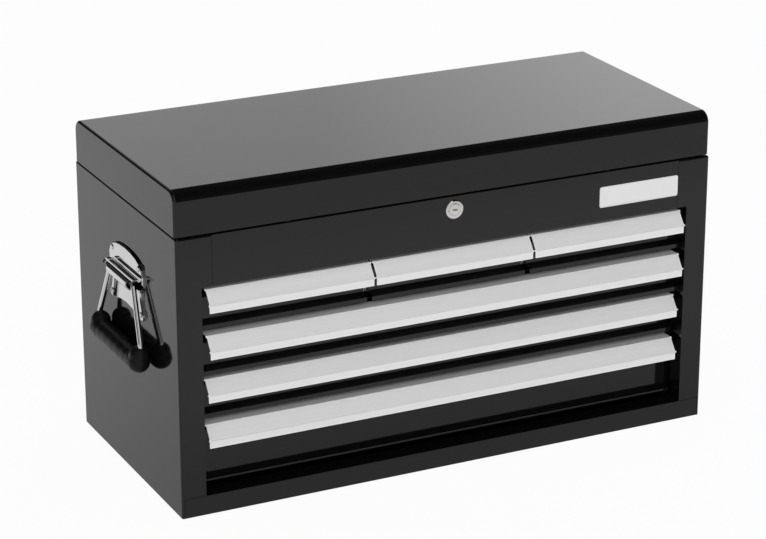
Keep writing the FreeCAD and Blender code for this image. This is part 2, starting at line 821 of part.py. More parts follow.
def stay_arm():
    """Left lid stay: leg from the case pivot, upright, and a band with the curved slot."""
    deep = minus(("stay_outer - stay_thickness", "stay_outer"))
    wide = minus(("stay_outer - stay_thickness - overrun", "stay_outer + overrun"))
    leg = block(deep, ("stay_stud_y - stay_leg_half", "stay_pivot_y"),
                ("stay_pivot_z - stay_leg_half", "stay_pivot_z + stay_leg_half"))
    upright = block(deep, ("stay_stud_y - stay_leg_half", "stay_stud_y + stay_leg_half"),
                    ("stay_pivot_z - stay_leg_half", "stay_stud_z"))
    foot = rod("x", "stay_leg_half", deep, y="stay_pivot_y", z="stay_pivot_z")
    band = arc_band("stay_band_half", deep)
    slot = arc_band("stay_slot_half", wide)
    pivot = rod("x", "stud_radius + stud_play", wide, y="stay_pivot_y", z="stay_pivot_z")
    return cut(join([leg, upright, foot] + band), slot + [pivot])


def arc_band(half, deep):
    """Band of one half width along the arc that the lid's stud follows, with round ends."""
    # The stud starts straight over the arc's centre, turned back by the angle of the pivot.
    start_angle = "atan(stay_pivot_forward / stay_pivot_drop)"
    middle = ("stay_centre_y", "stay_centre_z")
    outer = rod("x", f"stay_arc + {half}", deep, y=middle[0], z=middle[1])
    inner = rod("x", f"stay_arc - {half}", (f"{deep[0]} - overrun", f"{deep[1]} + overrun"),
                y=middle[0], z=middle[1])
    outer.setExpression("Angle", link("stay_sweep"))
    # A cylinder along X counts its angle from -Z towards +Y, so it is turned up to the stud's start.
    turn = math.degrees(math.atan2(size("stay_pivot_forward"), size("stay_pivot_drop")))
    spin = FreeCAD.Rotation(FreeCAD.Vector(1, 0, 0), 180 - turn)
    outer.Placement.Rotation = spin.multiply(turns["x"])
    ring = cut(outer, [inner])
    begin = rod("x", half, deep, y="stay_stud_y", z="stay_stud_z")
    end_y = f"stay_centre_y + stay_arc * sin({start_angle} - stay_sweep * 1deg)"
    end_z = f"stay_centre_z + stay_arc * cos({start_angle} - stay_sweep * 1deg)"
    end = rod("x", half, deep, y=end_y, z=end_z)
    return [ring, begin, end]


node("lid_shell", lid_shell())
node("hinge_leaf_lid", hinge_leaf(True))
node("hinge_leaf_case", hinge_leaf(False))
node("hinge_pin", rod("x", "hinge_pin_radius", ("-hinge_length / 2", "hinge_length / 2"),
                      y="hinge_back", z="hinge_height"))
rivet_offset = "(knuckle_radius + leaf_clear + leaf_height / 2)"
node("case_rivets", group(leaf_rivets(f"hinge_height - {rivet_offset}")))
node("lid_rivets", group(leaf_rivets(f"hinge_height + {rivet_offset}")))
case_stud = stepped_stud("stay_pivot_y", "stay_pivot_z")
node("lid_stay_pivots", group([case_stud, mirrored(case_stud)]))
lid_stud = stepped_stud("stay_stud_y", "stay_stud_z")
node("lid_stay_studs", group([lid_stud, mirrored(lid_stud)]))
left_stay = node("lid_stay_left", stay_arm())
node("lid_stay_right", mirrored(left_stay))
pad_x = "half_width * pad_spread_share"
pad_y = "front + (lid_setback + top_rail_fold) / 2"
pad_z = ("seam_height", "lid_low - pad_play")
node("lid_pads", group([rod("z", "pad_radius", pad_z, x=x, y=pad_y) for x in (f"-{pad_x}", pad_x)]))


# Lock

def lock_barrel():
    """Housing with its round face in front of the top rail and the bore for the plug."""
    face = rod("y", "lock_face_radius", ("front - lock_face_height", "front"), x="0", z="lock_height")
    body = rod("y", "lock_body_radius", ("front", "lock_end"), x="0", z="lock_height")
    bore = rod("y", "plug_radius + plug_play", ("front - overrun", "lock_end + overrun"),
               x="0", z="lock_height")
    return cut(join([face, body]), [bore])


def lock_nut():
    """Six-sided nut that clamps the barrel to the rail."""
    nut = doc.addObject("Part::Prism", "nut")
    nut.Polygon = 6
    nut.setExpression("Circumradius", link("lock_nut_radius"))
    nut.setExpression("Height", link("lock_nut_height"))
    place(nut, "y", "0", "front + gauge", "lock_height")
    hole = rod("y", "lock_body_radius + lock_body_play", ("front", "front + overrun + lock_nut_height"),
               x="0", z="lock_height")
    return cut(nut, [hole])


def lock_plug():
    """Plug with the key slot."""
    plug = rod("y", "plug_radius", ("front - lock_face_height - plug_proud", "lock_end"),
               x="0", z="lock_height")
    slot = block(("-key_slot_width / 2", "key_slot_width / 2"),
                 ("front - lock_face_height - overrun", "front - lock_face_height + key_slot_depth"),
                 ("lock_height - key_slot_height / 2", "lock_height + key_slot_height / 2"))
    return cut(plug, [slot])


def lock_cam():
    """Flat cam that points up when the lid is free."""
    deep = ("lock_end", "cam_back")
    blade = block(("-cam_half_width", "cam_half_width"), deep, ("lock_height", "lock_height + cam_reach"))
    return join([blade, rod("y", "plug_radius", deep, x="0", z="lock_height")])


def lid_catch():
    """Strap that hangs from the lid's front, with a hook for the cam to pass over."""
    across = ("catch_near", "catch_far")
    hook_top = "lock_height - cam_half_width - catch_clear"
    strap_y = ("catch_front", "catch_front + catch_plate")
    strap = block(across, strap_y, (f"{hook_top} - catch_plate", "catch_top"))
    hook = block(across, ("lock_end - catch_hook_ahead", strap_y[1]), (f"{hook_top} - catch_plate", hook_top))
    arm = block(across, ("lid_front + gauge", strap_y[1]), ("catch_top - catch_plate", "catch_top"))
    return join([strap, hook, arm])


node("lock_barrel", lock_barrel())
node("lock_nut", lock_nut())
node("lock_plug", lock_plug())
node("lock_cam", lock_cam())
node("lock_cam_screw", rod("y", "cam_screw_radius", ("cam_back", "cam_back + cam_screw_height"),
                           x="0", z="lock_height"))
node("lid_catch", lid_catch())


# Badge plate

def badge():
    """Bare plate with rounded corners at the right end of the top rail."""
    right = "rail_half - badge_end_gap"
    top = "seam_height - badge_drop"
    plate = pad("XZ_Plane", [
        (f"{right} - badge_width", f"{top} - badge_height"),
        (right, f"{top} - badge_height"),
        (right, top),
        (f"{right} - badge_width", top),
    ], "badge_thickness")
    soften(plate, "badge_corner", lambda e: along(e, "y"))
    plate.setExpression("Placement.Base.y", link("front"))
    return plate


node("badge_plate", badge())


# Side handles

# Half of the plate's outline from the top down, as shares of its half width and of its rise or fall.
plate_upper_shares = [(0.0, 1.0), (0.32, 0.975), (0.6, 0.91), (0.8, 0.8), (0.93, 0.62), (1.0, 0.4)]
plate_lower_shares = [(0.97, 0.0), (0.85, 0.2), (0.84, 0.42), (0.9, 0.66), (1.01, 0.84), (0.99, 0.96),
                      (0.89, 1.0), (0.75, 0.975), (0.4, 0.885), (0.0, 0.845)]
plate_upper_rivet_shares = (0.79, 0.63)
plate_lower_rivet_shares = (0.86, 0.82)


def plate_outline():
    """Points of the plate about the pivot: down the front half and up the rear half."""
    upper = [(-a, f"{b} * plate_rise") for a, b in plate_upper_shares]
    lower = [(-a, f"-{b} * plate_fall") for a, b in plate_lower_shares]
    near = upper + lower
    far = [(-a, text) for a, text in reversed(near) if a != 0]
    return [(f"{a} * plate_half_width", text) for a, text in near + far]


def handle_plate():
    """Chromed plate with the raised barrel that holds the wire, open where the legs come out."""
    plate = pad("YZ_Plane", plate_outline(), "plate_thickness")
    soften(plate, "plate_bevel", lambda e: at(e, "x", size("plate_thickness")), "Chamfer")
    # The plate is padded away from the case on the left side.
    plate.Placement.Rotation = FreeCAD.Rotation(FreeCAD.Vector(0, 0, 1), 180)
    plate.setExpression("Placement.Base.x", link("-half_width"))
    plate.setExpression("Placement.Base.y", link("handle_y"))
    plate.setExpression("Placement.Base.z", link("handle_height"))
    half = "barrel_length / 2"
    spot = {"x": "-barrel_x", "z": "handle_height"}
    barrel = [rod("y", "barrel_radius", (f"handle_y - {half}", f"handle_y + {half}"), **spot)]
    outer_x = ("-half_width - 3 * barrel_radius", "-half_width")
    notches = []
    for sign in ("-", "+"):
        ends = [f"handle_y {sign} {half}", f"handle_y {sign} ({half} - barrel_bead_length)"]
        low, high = ends if sign == "-" else ends[::-1]
        bead = rod("y", "barrel_radius + barrel_bead", (low, high), **spot)
        keep = block(outer_x, (f"{low} - overrun", f"{high} + overrun"),
                     ("handle_height - 2 * barrel_radius", "handle_height + 2 * barrel_radius"))
        common = doc.addObject("Part::Common", "bead")
        common.Base = bead
        common.Tool = keep
        barrel.append(common)
        ends = [f"handle_y {sign} ({half} + overrun)", f"handle_y {sign} notch_start"]
        deep = ends if sign == "-" else ends[::-1]
        notch_x = ("-half_width - 3 * barrel_radius", "-barrel_x + wire_radius + leg_notch_play")
        notches.append(block(notch_x, deep,
                             ("handle_height - 2 * barrel_radius",
                              "handle_height + wire_radius + leg_notch_swing_play")))
        notches.append(rod("y", "barrel_mouth_radius", deep, **spot))
    bore = rod("y", "wire_radius + wire_play", (f"handle_y - {half}", f"handle_y + {half}"), **spot)
    return cut(join([plate] + barrel), notches + [bore])


def bail_path():
    """The wire's middle line in its own plane: along the barrel, down the legs and through the grip."""
    top, foot, drop = size("leg_top_half"), size("leg_foot_half"), size("bail_drop")
    side = [(size("wire_gap") / 2, 0.0), (top, 0.0), (foot, size("leg_straight") - drop), (foot, -drop)]
    bends = [0.0, size("leg_top_bend"), size("leg_middle_bend"), size("leg_foot_bend")]
    points = side + [(-y, z) for y, z in reversed(side)]
    radii = bends + bends[::-1]
    return points, radii


def rounded_wire(points, radii):
    """Straight runs joined by tangent arcs, in the YZ plane."""
    spots = [FreeCAD.Vector(0, y, z) for y, z in points]
    edges = []
    last = spots[0]
    for i in range(1, len(spots) - 1):
        back = (spots[i - 1] - spots[i]).normalize()
        ahead = (spots[i + 1] - spots[i]).normalize()
        half = back.getAngle(ahead) / 2
        reach = radii[i] / math.tan(half)
        start = spots[i] + back * reach
        end = spots[i] + ahead * reach
        towards = (back + ahead).normalize()
        crown = spots[i] + towards * (radii[i] / math.sin(half) - radii[i])
        edges.append(Part.LineSegment(last, start).toShape())
        edges.append(Part.Arc(start, crown, end).toShape())
        last = end
    edges.append(Part.LineSegment(last, spots[-1]).toShape())
    return Part.Wire(edges)


def tilt():
    """Angle that the hanging bail leans away from the case."""
    out = size("grip_radius") + size("grip_stand") - size("barrel_radius")
    return math.degrees(math.atan2(out, size("bail_drop")))


def wire_solid(extra):
    """The bail's wire, with its radius made larger by an extra amount."""
    path = rounded_wire(*bail_path())
    start = path.Vertexes[0].Point
    ring = Part.Wire([Part.Circle(start, FreeCAD.Vector(0, 1, 0), size("wire_radius") + extra).toShape()])
    item = doc.addObject("Part::Feature", "wire")
    item.Shape = path.makePipeShell([ring], True, False)
    item.Placement = hang()
    return item


def hang():
    """Place of the bail's plane: at the barrel's axis, leaning outwards."""
    lean = FreeCAD.Rotation(FreeCAD.Vector(0, 1, 0), tilt())
    return FreeCAD.Placement(FreeCAD.Vector(-size("barrel_x"), size("handle_y"), size("handle_height")), lean)


def grip():
    """Moulded grip around the lower part of the wire, with its ends turned up around the legs."""
    end, rise = "grip_end_half", "grip_horn_rise"
    parts = [rod("y", "grip_radius", (f"-{end}", end), x="0", z="-bail_drop")]
    for side in (f"-{end}", end):
        parts.append(ball("grip_radius", "0", side, "-bail_drop"))
        parts.append(rod("z", "grip_horn_radius", ("-bail_drop", f"-bail_drop + {rise}"), x="0", y=side))
        parts.append(ball("grip_horn_radius", "0", side, f"-bail_drop + {rise}"))
    moulded = join(parts)
    doc.recompute()
    moulded.Placement = hang()
    return cut(moulded, [wire_solid(size("grip_play"))])


def plate_rivets():
    """Rivet heads on the left plate."""
    heads = []
    rows = ((plate_upper_rivet_shares, "+", "plate_rise"), (plate_lower_rivet_shares, "-", "plate_fall"))
    for (along_share, up_share), way, reach in rows:
        for sign in ("-", "+"):
            head = doc.addObject("Part::Cone", "rivet")
            head.setExpression("Radius1", link("plate_rivet_radius"))
            head.setExpression("Radius2", link("plate_rivet_crown_radius"))
            head.setExpression("Height", link("plate_rivet_height"))
            place(head, "x", "-half_width - plate_thickness",
                  f"handle_y {sign} {along_share} * plate_half_width",
                  f"handle_height {way} {up_share} * {reach}")
            head.Placement.Rotation = FreeCAD.Rotation(FreeCAD.Vector(0, 1, 0), -90)
            heads.append(head)
    return heads


left_plate = node("handle_plate_left", handle_plate())
node("handle_plate_right", mirrored(left_plate))
left_bail = node("handle_bail_left", wire_solid(0.0))
node("handle_bail_right", mirrored(left_bail))
left_grip = node("handle_grip_left", grip())
node("handle_grip_right", mirrored(left_grip))
heads = plate_rivets()
node("handle_rivets", group(heads + [mirrored(head) for head in heads]))


# Build, check and write

doc.recompute()
faults = [item.Label for item in doc.Objects if "Invalid" in item.State or "Error" in item.State]
if faults:
    raise RuntimeError("these objects failed: " + ", ".join(faults))
for item in nodes:
    if item.Shape.isNull() or not item.Shape.isValid():
        raise RuntimeError("no sound solid for " + item.Label)
os.makedirs("parts", exist_ok=True)
for item in nodes:
    item.Shape.exportStep(f"parts/{item.Label}.step")
print(len(nodes), "sub-parts")
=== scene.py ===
import json
import math

import bpy
import bmesh
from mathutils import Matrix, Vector


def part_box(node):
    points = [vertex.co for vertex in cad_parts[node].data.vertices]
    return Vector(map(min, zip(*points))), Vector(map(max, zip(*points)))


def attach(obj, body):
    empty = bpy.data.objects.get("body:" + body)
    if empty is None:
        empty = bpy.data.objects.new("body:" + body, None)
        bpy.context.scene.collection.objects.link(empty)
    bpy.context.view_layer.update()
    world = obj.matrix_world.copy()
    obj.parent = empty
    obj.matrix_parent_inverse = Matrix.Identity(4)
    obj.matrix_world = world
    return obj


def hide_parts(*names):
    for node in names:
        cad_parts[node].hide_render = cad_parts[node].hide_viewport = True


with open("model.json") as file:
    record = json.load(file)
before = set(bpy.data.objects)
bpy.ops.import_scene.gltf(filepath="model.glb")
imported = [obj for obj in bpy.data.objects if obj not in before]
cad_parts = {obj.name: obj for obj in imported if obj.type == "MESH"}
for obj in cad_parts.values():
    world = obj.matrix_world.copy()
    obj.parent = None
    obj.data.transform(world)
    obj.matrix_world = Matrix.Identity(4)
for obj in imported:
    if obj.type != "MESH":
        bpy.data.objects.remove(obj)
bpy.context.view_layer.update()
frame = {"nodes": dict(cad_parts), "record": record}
scene = bpy.context.scene
scene.view_settings.view_transform = "Standard"
bpy.ops.object.select_all(action="DESELECT")

MM = 0.001
DRAWERS = ("small_left", "small_middle", "small_right", "upper", "middle", "deep")
SIDES = (("left", -1), ("right", 1))
joints = frame["record"]["behaviour"]["joints"]
pivot_of = {row["name"]: Vector(row.get("pos_m") or (0, 0, 0)) for row in joints}


# Camera at the photograph's place

FRAME_WIDTH = 766
FOCAL_PIXELS = 2765
SENSOR_WIDTH = 36.0
CAMERA_PLACE = (-1.336, -2.699, 1.297)
CAMERA_DIP = 20.23
CAMERA_TURN = 26.10


def photo_camera():
    """The camera at the height and distance that the chest's own edges give."""
    data = bpy.data.cameras.new("photo_camera")
    data.sensor_width = SENSOR_WIDTH
    data.lens = SENSOR_WIDTH * FOCAL_PIXELS / FRAME_WIDTH
    data.clip_end = 30
    camera = bpy.data.objects.new("photo_camera", data)
    scene.collection.objects.link(camera)
    camera.location = CAMERA_PLACE
    camera.rotation_euler = (math.radians(90 - CAMERA_DIP), 0, -math.radians(CAMERA_TURN))
    scene.camera = camera


photo_camera()


# Modelling helpers

PLACE_SLACK = 1e-5
WELD_SLACK = 1e-6
TURN = {"x": (0, math.pi / 2, 0), "y": (-math.pi / 2, 0, 0), "z": (0, 0, 0)}
ALONG = {"x": Vector((1, 0, 0)), "y": Vector((0, 1, 0)), "z": Vector((0, 0, 1))}


def only(piece):
    """Make one piece the whole selection."""
    if bpy.context.object and bpy.context.object.mode != "OBJECT":
        bpy.ops.object.mode_set(mode="OBJECT")
    bpy.ops.object.select_all(action="DESELECT")
    piece.select_set(True)
    bpy.context.view_layer.objects.active = piece


def settle(piece):
    """Put a piece's place into its mesh, so that its object sits at the origin."""
    only(piece)
    bpy.ops.object.transform_apply(location=True, rotation=True, scale=True)


def block(name, low, high):
    """A box between two corners, the start of a folded or moulded piece."""
    low, high = Vector(low), Vector(high)
    bpy.ops.object.select_all(action="DESELECT")
    bpy.ops.mesh.primitive_cube_add(size=1, location=(low + high) / 2)
    piece = bpy.context.object
    piece.name = name
    piece.scale = high - low
    settle(piece)
    return piece


def pick(piece, kind, test):
    """In edit mode, select the faces or edges that pass a test on their place."""
    only(piece)
    bpy.ops.object.mode_set(mode="EDIT")
    bpy.ops.mesh.select_mode(type=kind)
    bpy.ops.mesh.select_all(action="DESELECT")
    shape = bmesh.from_edit_mesh(piece.data)
    for part in (shape.faces if kind == "FACE" else shape.edges):
        part.select_set(bool(test(part)))
    bmesh.update_edit_mesh(piece.data)


def finish_edit():
    """Back to object mode."""
    bpy.ops.object.mode_set(mode="OBJECT")


def edge_at(edge, **spots):
    """True where both ends of an edge have the given coordinates."""
    return all(abs(getattr(vert.co, axis) - value) < PLACE_SLACK
               for vert in edge.verts for axis, value in spots.items())


def edge_runs(edge, axis):
    """True where an edge runs along an axis."""
    step = edge.verts[1].co - edge.verts[0].co
    return abs(getattr(step, axis)) > 0.999 * step.length


def bevel_picked(radius, segments):
    """Round the picked edges and leave edit mode."""
    bpy.ops.mesh.bevel(offset=radius, offset_type="OFFSET", segments=segments, profile=0.5,
                       clamp_overlap=False)
    finish_edit()


def push(step):
    """Extrude the picked edges or faces by a step."""
    bpy.ops.mesh.extrude_region_move(TRANSFORM_OT_translate={"value": Vector(step)})


def close_up(piece):
    """Weld a piece's doubles and point its faces outwards."""
    only(piece)
    bpy.ops.object.mode_set(mode="EDIT")
    bpy.ops.mesh.select_all(action="SELECT")
    bpy.ops.mesh.remove_doubles(threshold=WELD_SLACK)
    bpy.ops.mesh.normals_make_consistent(inside=False)
    finish_edit()


def apply_modifier(piece, kind, **values):
    """Add a modifier with its settings and apply it."""
    only(piece)
    step = piece.modifiers.new(kind.lower(), kind)
    for key, value in values.items():
        setattr(step, key, value)
    bpy.ops.object.modifier_apply(modifier=step.name)


def soften(piece, width, angle):
    """A small round on every edge that is sharper than an angle."""
    apply_modifier(piece, "BEVEL", width=width, segments=2, limit_method="ANGLE",
                   angle_limit=math.radians(angle))


def smooth(piece, angle):
    """Smooth the rounds and keep the flats flat, as pressed and moulded pieces reflect."""
    only(piece)
    bpy.ops.object.shade_smooth_by_angle(angle=math.radians(angle))
    apply_modifier(piece, "WEIGHTED_NORMAL", keep_sharp=True, weight=100)


def turned(name, axis, centre, stations, sides, tube=False):
    """A turned piece: a ring that is run along an axis and resized from station to station."""
    centre, way = Vector(centre), ALONG[axis]
    place, radius = stations[0]
    bpy.ops.object.select_all(action="DESELECT")
    bpy.ops.mesh.primitive_circle_add(vertices=sides, radius=radius, fill_type="NOTHING",
                                      location=centre + way * place, rotation=TURN[axis])
    piece = bpy.context.object
    piece.name = name
    settle(piece)
    bpy.ops.object.mode_set(mode="EDIT")
    bpy.ops.mesh.select_mode(type="EDGE")
    bpy.ops.mesh.select_all(action="SELECT")
    for next_place, next_radius in stations[1:]:
        push(way * (next_place - place))
        ratio = next_radius / radius
        bpy.ops.transform.resize(value=(ratio, ratio, ratio), center_override=centre + way * next_place)
        place, radius = next_place, next_radius
    if not tube:
        bpy.ops.mesh.select_all(action="SELECT")
        bpy.ops.mesh.fill_holes(sides=0)
    finish_edit()
    close_up(piece)
    return piece


def joined(pieces):
    """Several meshes made into one piece, which keeps the first one's name."""
    only(pieces[0])
    for piece in pieces[1:]:
        piece.select_set(True)
    bpy.ops.object.join()
    return pieces[0]


def copied(piece, name):
    """A copy with its own mesh."""
    only(piece)
    bpy.ops.object.duplicate()
    twin = bpy.context.object
    twin.name = name
    settle(twin)
    return twin


def cut_away(piece, tool):
    """Take a tool's shape out of a piece and remove the tool."""
    apply_modifier(piece, "BOOLEAN", operation="DIFFERENCE", object=tool, solver="EXACT")
    bpy.data.objects.remove(tool)


def fit(piece, body, slot, *nodes):
    """Tie a finished piece to its body, to its finish and to the nodes that it stands for."""
    piece.data.materials.clear()
    piece.data.materials.append(finishes[slot])
    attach(piece, body)
    if nodes:
        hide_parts(*nodes)


# Node helpers

def add(tree, kind, **values):
    """A node with its settings and its unlinked inputs filled in."""
    node = tree.nodes.new("ShaderNode" + kind)
    for key, value in values.items():
        if hasattr(node, key):
            setattr(node, key, value)
        else:
            node.inputs[key.replace("_", " ")].default_value = value
    return node


def wire(tree, start, end):
    tree.links.new(start, end)


def maths(tree, operation, first, second=0.0):
    """A value put together with another value or with a number."""
    node = add(tree, "Math", operation=operation)
    wire(tree, first, node.inputs[0])
    if isinstance(second, float):
        node.inputs[1].default_value = second
    else:
        wire(tree, second, node.inputs[1])
    return node.outputs[0]


def times(tree, first, second):
    return maths(tree, "MULTIPLY", first, second)


def level(tree, value, start, end, low=0.0, high=1.0):
    """A level that moves from low to high while a value moves from start to end."""
    node = add(tree, "MapRange", From_Min=start, From_Max=end, To_Min=low, To_Max=high)
    wire(tree, value, node.inputs["Value"])
    return node.outputs["Result"]


def colour_sockets(sockets):
    return [socket for socket in sockets if socket.type == "RGBA"]


def blend_colour(tree, mask, low, high):
    """A colour that moves with a mask between two others, each given as numbers or by a node."""
    mix = add(tree, "Mix", data_type="RGBA")
    for socket, colour in zip(colour_sockets(mix.inputs), (low, high)):
        if isinstance(colour, tuple):
            socket.default_value = (*colour, 1)
        else:
            wire(tree, colour, socket)
    wire(tree, mask, mix.inputs["Factor"])
    return colour_sockets(mix.outputs)[0]


def bump(tree, shader, height, distance):
    """Relief from a height mask."""
    node = add(tree, "Bump", Strength=1.0, Distance=distance)
    wire(tree, height, node.inputs["Height"])
    wire(tree, node.outputs["Normal"], shader.inputs["Normal"])


# Node groups that several finishes share

FACING_UP = 0.6
DUST_LEVELS = (0.62, 0.74)


def new_group(name, inputs):
    """An empty node group with named inputs, which puts out a mask."""
    tree = bpy.data.node_groups.new(name, "ShaderNodeTree")
    for label, value in inputs:
        socket = tree.interface.new_socket(name=label, in_out="INPUT", socket_type="NodeSocketFloat")
        socket.default_value = value
    tree.interface.new_socket(name="Mask", in_out="OUTPUT", socket_type="NodeSocketFloat")
    return tree, tree.nodes.new("NodeGroupInput"), tree.nodes.new("NodeGroupOutput")


def speckle_group():
    """Fine mottling: a noise that is squeezed between two levels."""
    tree, given, put = new_group("speckle", (("Scale", 400.0), ("Low", 0.4), ("High", 0.6)))
    place = add(tree, "TexCoord")
    noise = add(tree, "TexNoise", Detail=4.0, Roughness=0.6)
    squeezed = add(tree, "MapRange")
    wire(tree, place.outputs["Object"], noise.inputs["Vector"])
    wire(tree, given.outputs["Scale"], noise.inputs["Scale"])
    wire(tree, noise.outputs["Fac"], squeezed.inputs["Value"])
    wire(tree, given.outputs["Low"], squeezed.inputs["From Min"])
    wire(tree, given.outputs["High"], squeezed.inputs["From Max"])
    wire(tree, squeezed.outputs["Result"], put.inputs["Mask"])
    return tree


def grain_group():
    """Drawn or brushed grain: a noise with its own fineness along each axis."""
    fine = (("Along X", 3.0), ("Along Y", 900.0), ("Along Z", 900.0))
    tree, given, put = new_group("grain", fine)
    place = add(tree, "TexCoord")
    fineness = add(tree, "CombineXYZ")
    stretch = add(tree, "VectorMath", operation="MULTIPLY")
    noise = add(tree, "TexNoise", Scale=1.0, Detail=3.0)
    for axis in "XYZ":
        wire(tree, given.outputs["Along " + axis], fineness.inputs[axis])
    wire(tree, place.outputs["Object"], stretch.inputs[0])
    wire(tree, fineness.outputs["Vector"], stretch.inputs[1])
    wire(tree, stretch.outputs["Vector"], noise.inputs["Vector"])
    wire(tree, noise.outputs["Fac"], put.inputs["Mask"])
    return tree


def dust_group():
    """Fine dust that lies on what faces up."""
    tree, given, put = new_group("dust", (("Amount", 0.3), ("Scale", 900.0)))
    place = add(tree, "TexCoord")
    shape = add(tree, "NewGeometry")
    parts = add(tree, "SeparateXYZ")
    noise = add(tree, "TexNoise", Detail=2.0)
    wire(tree, shape.outputs["Normal"], parts.inputs[0])
    wire(tree, place.outputs["Object"], noise.inputs["Vector"])
    wire(tree, given.outputs["Scale"], noise.inputs["Scale"])
    upward = level(tree, parts.outputs["Z"], FACING_UP, 1.0)
    specks = level(tree, noise.outputs["Fac"], *DUST_LEVELS)
    wire(tree, times(tree, times(tree, upward, specks), given.outputs["Amount"]), put.inputs["Mask"])
    return tree


GROUPS = {"speckle": speckle_group(), "grain": grain_group(), "dust": dust_group()}


def effect(tree, kind, **values):
    """One of the shared effects with this material's own values."""
    group = tree.nodes.new("ShaderNodeGroup")
    group.node_tree = GROUPS[kind]
    for key, value in values.items():
        group.inputs[key.replace("_", " ")].default_value = value
    return group.outputs["Mask"]


# Finishes

BLACK_COAT = (0.003, 0.003, 0.0033)
DUST = (0.3, 0.29, 0.27)
SILVER = (0.78, 0.78, 0.785)
SILVER_SHADES = ((0.77, 0.77, 0.775), (0.84, 0.84, 0.845))
RIM_HIGHLIGHT_WHITE = (1.0, 1.0, 1.0)
# Painted highlight along the pulls' cut ends and foot.
CHROME = (0.8, 0.8, 0.81)
RUBBER = (0.004, 0.004, 0.004)
RUBBER_SHADES = ((0.003, 0.003, 0.003), (0.006, 0.006, 0.006))
ORANGE_PEEL = 0.006 * MM
DRAWN_LINES = 0.02 * MM
RUBBER_GRAIN = 0.04 * MM
ZINC = (0.55, 0.56, 0.57)
NICKEL = (0.86, 0.85, 0.83)
BADGE_SATIN = (0.84, 0.84, 0.84)
# Painted shade: the black that fills the barrel's open ends on the handle plates.
MOUTH_PAINTED_SHADE = (0.004, 0.004, 0.004)
MOUTH_AXIS = (0.3375, -0.0065, 0.237)
MOUTH_RADII = (6.2 * MM, 6.5 * MM)
MOUTH_DEPTHS = (28 * MM, 29.2 * MM)


def material(name, colour, metallic=0.0, roughness=0.4):
    """A material with its main shader, and the shader's tree."""
    mat = bpy.data.materials.new(name)
    mat.use_nodes = True
    tree = mat.node_tree
    shader = tree.nodes["Principled BSDF"]
    shader.inputs["Base Color"].default_value = (*colour, 1)
    shader.inputs["Metallic"].default_value = metallic
    shader.inputs["Roughness"].default_value = roughness
    return mat, tree, shader


def uneven_polish(tree, shader, mask, low, high):
    """Roughness that moves between two levels with a mask."""
    wire(tree, level(tree, mask, 0.0, 1.0, low, high), shader.inputs["Roughness"])


def black_paint():
    """Gloss black powder coat with a faint orange peel and a little dust."""
    mat, tree, shader = material("gloss_black_coat", BLACK_COAT, roughness=0.08)
    uneven_polish(tree, shader, effect(tree, "speckle", Scale=18.0, Low=0.3, High=0.7), 0.05, 0.09)
    dust = effect(tree, "dust", Amount=0.05, Scale=700.0)
    wire(tree, blend_colour(tree, dust, BLACK_COAT, DUST), shader.inputs["Base Color"])
    bump(tree, shader, effect(tree, "speckle", Scale=380.0, Low=0.2, High=0.8), ORANGE_PEEL)
    return mat


def pull_metal():
    """Satin silver, drawn lengthwise, with a painted highlight that lightens the cut ends and foot towards
    white.
    """
    mat, tree, shader = material("drawn_silver", SILVER, metallic=0.3, roughness=0.45)
    grain = effect(tree, "grain", Along_X=3.0, Along_Y=900.0, Along_Z=900.0)
    uneven_polish(tree, shader, grain, 0.38, 0.52)
    # Painted highlight: the cut ends and foot are blended towards white.
    rim = add(tree, "Attribute", attribute_name="rim_painted_highlight")
    satin = blend_colour(tree, grain, *SILVER_SHADES)
    wire(tree, blend_colour(tree, rim.outputs["Fac"], satin, RIM_HIGHLIGHT_WHITE), shader.inputs["Base Color"])
    bump(tree, shader, grain, DRAWN_LINES)
    return mat


def plain_metal(name, colour, roughness, spread=0.05, scale=120.0, metallic=1.0, darker=0.93):
    """Plated metal with slightly uneven polish."""
    mat, tree, shader = material(name, colour, metallic=metallic, roughness=roughness)
    mask = effect(tree, "speckle", Scale=scale, Low=0.3, High=0.7)
    uneven_polish(tree, shader, mask, roughness - spread, roughness + spread)
    dull = tuple(darker * part for part in colour)
    wire(tree, blend_colour(tree, mask, dull, colour), shader.inputs["Base Color"])
    return mat


def rubber(name, roughness, specular=0.5):
    """Moulded black rubber with a fine matt grain."""
    mat, tree, shader = material(name, RUBBER, roughness=roughness)
    shader.inputs["Specular IOR Level"].default_value = specular
    mask = effect(tree, "speckle", Scale=700.0, Low=0.3, High=0.7)
    uneven_polish(tree, shader, mask, roughness - 0.06, roughness + 0.06)
    wire(tree, blend_colour(tree, mask, *RUBBER_SHADES), shader.inputs["Base Color"])
    bump(tree, shader, mask, RUBBER_GRAIN)
    return mat


def chrome_with_painted_mouth_shade():
    """Chrome for the handle plates with painted shade, black inside the open ends of the barrel where the
    hollow is in shade.
    """
    mat = plain_metal("plate_chrome_mouth_shade", CHROME, 0.06, 0.03)
    tree = mat.node_tree
    shader = tree.nodes["Principled BSDF"]
    place, whole = add(tree, "TexCoord"), add(tree, "SeparateXYZ")
    wire(tree, place.outputs["Object"], whole.inputs[0])
    flat = add(tree, "CombineXYZ")
    for axis, middle in (("X", MOUTH_AXIS[0]), ("Z", MOUTH_AXIS[2])):
        off = maths(tree, "SUBTRACT", maths(tree, "ABSOLUTE", whole.outputs[axis]), middle)
        wire(tree, off, flat.inputs[axis])
    radius = add(tree, "VectorMath", operation="LENGTH")
    wire(tree, flat.outputs["Vector"], radius.inputs[0])
    inside = level(tree, radius.outputs["Value"], *MOUTH_RADII, 1.0, 0.0)
    far = maths(tree, "ABSOLUTE", maths(tree, "SUBTRACT", whole.outputs["Y"], MOUTH_AXIS[1]))
    # Painted shade: the plate's chrome is blended to black inside the barrel's open ends.
    painted_shade = times(tree, inside, level(tree, far, *MOUTH_DEPTHS))
    clean = shader.inputs["Base Color"].links[0].from_socket
    wire(tree, blend_colour(tree, painted_shade, clean, MOUTH_PAINTED_SHADE), shader.inputs["Base Color"])
    return mat


